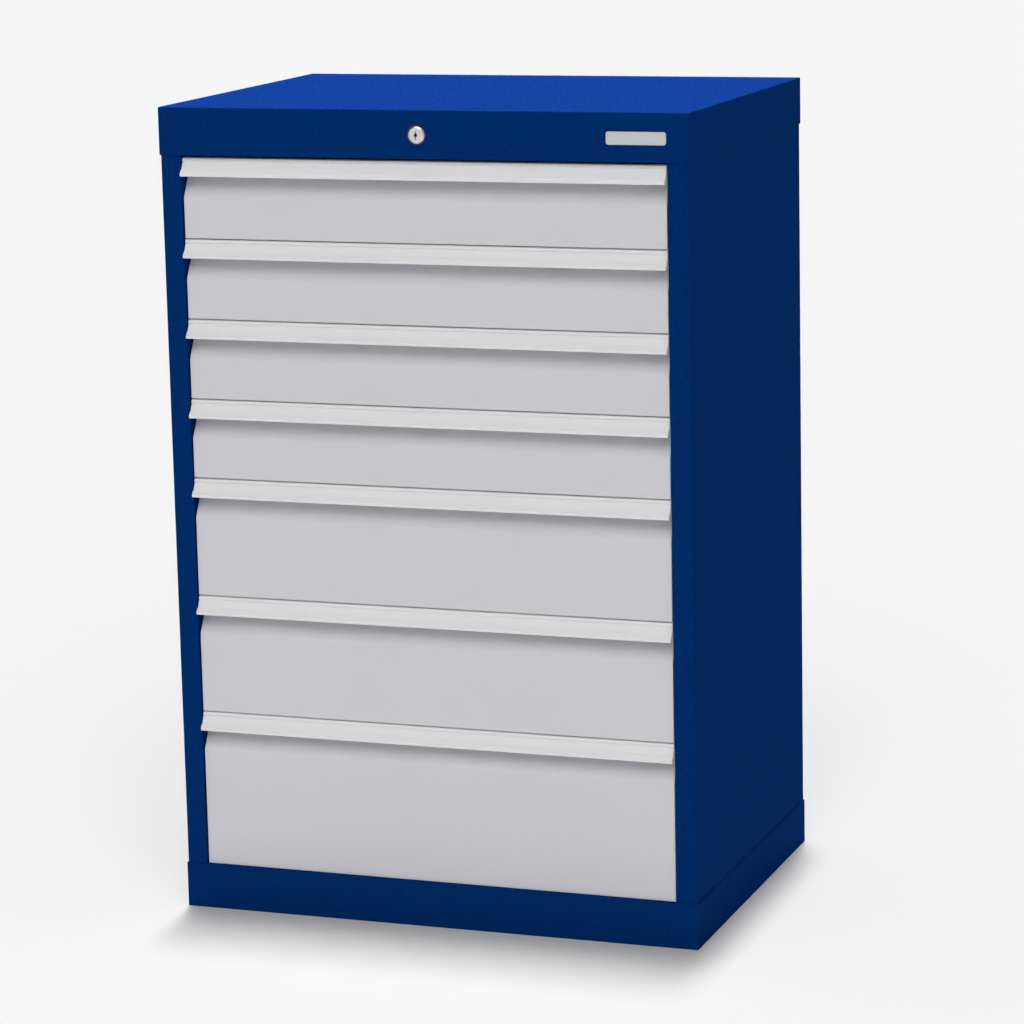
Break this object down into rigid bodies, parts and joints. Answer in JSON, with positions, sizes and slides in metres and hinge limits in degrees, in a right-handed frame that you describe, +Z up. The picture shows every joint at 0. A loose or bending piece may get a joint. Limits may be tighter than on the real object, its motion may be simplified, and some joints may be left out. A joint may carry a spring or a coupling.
{
  "type": "drawer cabinet",
  "caption": "Free-standing steel drawer cabinet for a workshop, with full-width grip rails on its fronts, telescopic slides and one central lock.",
  "frame": {"origin": "middle of the cabinet's footprint, on the floor", "axes": "+X to the right and +Y to the back for someone facing the drawers, +Z up"},
  "size_m": [0.68, 0.4979, 1.019],
  "materials": {
    "blue_paint": "matte powder coat",
    "grey_paint": "satin powder coat",
    "tray_paint": "satin powder coat",
    "grip_paint": "light matte coating",
    "label": "blank strip",
    "zinc_steel": "zinc plated",
    "lock_metal": "polished",
    "guide_plastic": "matte black",
    "name_plate": "satin, bare"
  },
  "bodies": {
    "housing": {"left_side_panel": "blue_paint", "right_side_panel": "blue_paint", "back_panel": "blue_paint", "top_cover": "blue_paint", "base_plinth": "blue_paint", "bottom_plate": "blue_paint", "left_uprights": "zinc_steel", "right_uprights": "zinc_steel", "left_slide_rails": "zinc_steel", "right_slide_rails": "zinc_steel", "name_plate": "name_plate", "lock_housing": "lock_metal", "lock_nut": "zinc_steel", "lock_bar_guides": "guide_plastic", "lock_bearing": "zinc_steel"},
    "lock_cylinder": {"lock_plug": "lock_metal", "lock_shaft": "zinc_steel"},
    "lock_bar": {"lock_bar": "zinc_steel"},
    "drawer_1": {"drawer_1_tray": "tray_paint", "drawer_1_front": "grey_paint", "drawer_1_grip": "grip_paint", "drawer_1_label": "label", "drawer_1_slide_inner": "zinc_steel"},
    "drawer_1_middle_members": {"drawer_1_slide_middle": "zinc_steel"},
    "drawer_2": {"drawer_2_tray": "tray_paint", "drawer_2_front": "grey_paint", "drawer_2_grip": "grip_paint", "drawer_2_label": "label", "drawer_2_slide_inner": "zinc_steel"},
    "drawer_2_middle_members": {"drawer_2_slide_middle": "zinc_steel"},
    "drawer_3": {"drawer_3_tray": "tray_paint", "drawer_3_front": "grey_paint", "drawer_3_grip": "grip_paint", "drawer_3_label": "label", "drawer_3_slide_inner": "zinc_steel"},
    "drawer_3_middle_members": {"drawer_3_slide_middle": "zinc_steel"},
    "drawer_4": {"drawer_4_tray": "tray_paint", "drawer_4_front": "grey_paint", "drawer_4_grip": "grip_paint", "drawer_4_label": "label", "drawer_4_slide_inner": "zinc_steel"},
    "drawer_4_middle_members": {"drawer_4_slide_middle": "zinc_steel"},
    "drawer_5": {"drawer_5_tray": "tray_paint", "drawer_5_front": "grey_paint", "drawer_5_grip": "grip_paint", "drawer_5_label": "label", "drawer_5_slide_inner": "zinc_steel"},
    "drawer_5_middle_members": {"drawer_5_slide_middle": "zinc_steel"},
    "drawer_6": {"drawer_6_tray": "tray_paint", "drawer_6_front": "grey_paint", "drawer_6_grip": "grip_paint", "drawer_6_label": "label", "drawer_6_slide_inner": "zinc_steel"},
    "drawer_6_middle_members": {"drawer_6_slide_middle": "zinc_steel"},
    "drawer_7": {"drawer_7_tray": "tray_paint", "drawer_7_front": "grey_paint", "drawer_7_grip": "grip_paint", "drawer_7_label": "label", "drawer_7_slide_inner": "zinc_steel"},
    "drawer_7_middle_members": {"drawer_7_slide_middle": "zinc_steel"}
  },
  "joints": [
    {"name": "drawer_1_slide", "type": "slide", "parent": "housing", "child": "drawer_1", "axis": [0, -1, 0], "range_m": [0, 0.4]},
    {"name": "drawer_1_middle_slide", "type": "slide", "parent": "housing", "child": "drawer_1_middle_members", "axis": [0, -1, 0], "range_m": [0, 0.2]},
    {"name": "drawer_2_slide", "type": "slide", "parent": "housing", "child": "drawer_2", "axis": [0, -1, 0], "range_m": [0, 0.4]},
    {"name": "drawer_2_middle_slide", "type": "slide", "parent": "housing", "child": "drawer_2_middle_members", "axis": [0, -1, 0], "range_m": [0, 0.2]},
    {"name": "drawer_3_slide", "type": "slide", "parent": "housing", "child": "drawer_3", "axis": [0, -1, 0], "range_m": [0, 0.4]},
    {"name": "drawer_3_middle_slide", "type": "slide", "parent": "housing", "child": "drawer_3_middle_members", "axis": [0, -1, 0], "range_m": [0, 0.2]},
    {"name": "drawer_4_slide", "type": "slide", "parent": "housing", "child": "drawer_4", "axis": [0, -1, 0], "range_m": [0, 0.4]},
    {"name": "drawer_4_middle_slide", "type": "slide", "parent": "housing", "child": "drawer_4_middle_members", "axis": [0, -1, 0], "range_m": [0, 0.2]},
    {"name": "drawer_5_slide", "type": "slide", "parent": "housing", "child": "drawer_5", "axis": [0, -1, 0], "range_m": [0, 0.4]},
    {"name": "drawer_5_middle_slide", "type": "slide", "parent": "housing", "child": "drawer_5_middle_members", "axis": [0, -1, 0], "range_m": [0, 0.2]},
    {"name": "drawer_6_slide", "type": "slide", "parent": "housing", "child": "drawer_6", "axis": [0, -1, 0], "range_m": [0, 0.4]},
    {"name": "drawer_6_middle_slide", "type": "slide", "parent": "housing", "child": "drawer_6_middle_members", "axis": [0, -1, 0], "range_m": [0, 0.2]},
    {"name": "drawer_7_slide", "type": "slide", "parent": "housing", "child": "drawer_7", "axis": [0, -1, 0], "range_m": [0, 0.4]},
    {"name": "drawer_7_middle_slide", "type": "slide", "parent": "housing", "child": "drawer_7_middle_members", "axis": [0, -1, 0], "range_m": [0, 0.2]},
    {"name": "lock_bar_lift", "type": "slide", "parent": "housing", "child": "lock_bar", "axis": [0, 0, 1], "range_m": [0, 0.01414]},
    {"name": "lock_turn", "type": "hinge", "parent": "housing", "child": "lock_cylinder", "pos_m": [0, -0.2465, 0.989], "axis": [0, 1, 0], "range_deg": [0, 90]}
  ],
  "couplings": [
    {"joint": "drawer_1_middle_slide", "follows": "drawer_1_slide", "ratio": 0.5},
    {"joint": "drawer_2_middle_slide", "follows": "drawer_2_slide", "ratio": 0.5},
    {"joint": "drawer_3_middle_slide", "follows": "drawer_3_slide", "ratio": 0.5},
    {"joint": "drawer_4_middle_slide", "follows": "drawer_4_slide", "ratio": 0.5},
    {"joint": "drawer_5_middle_slide", "follows": "drawer_5_slide", "ratio": 0.5},
    {"joint": "drawer_6_middle_slide", "follows": "drawer_6_slide", "ratio": 0.5},
    {"joint": "drawer_7_middle_slide", "follows": "drawer_7_slide", "ratio": 0.5},
    {"joint": "lock_turn", "follows": "lock_bar_lift", "rad_per_m": 111.07}
  ]
}
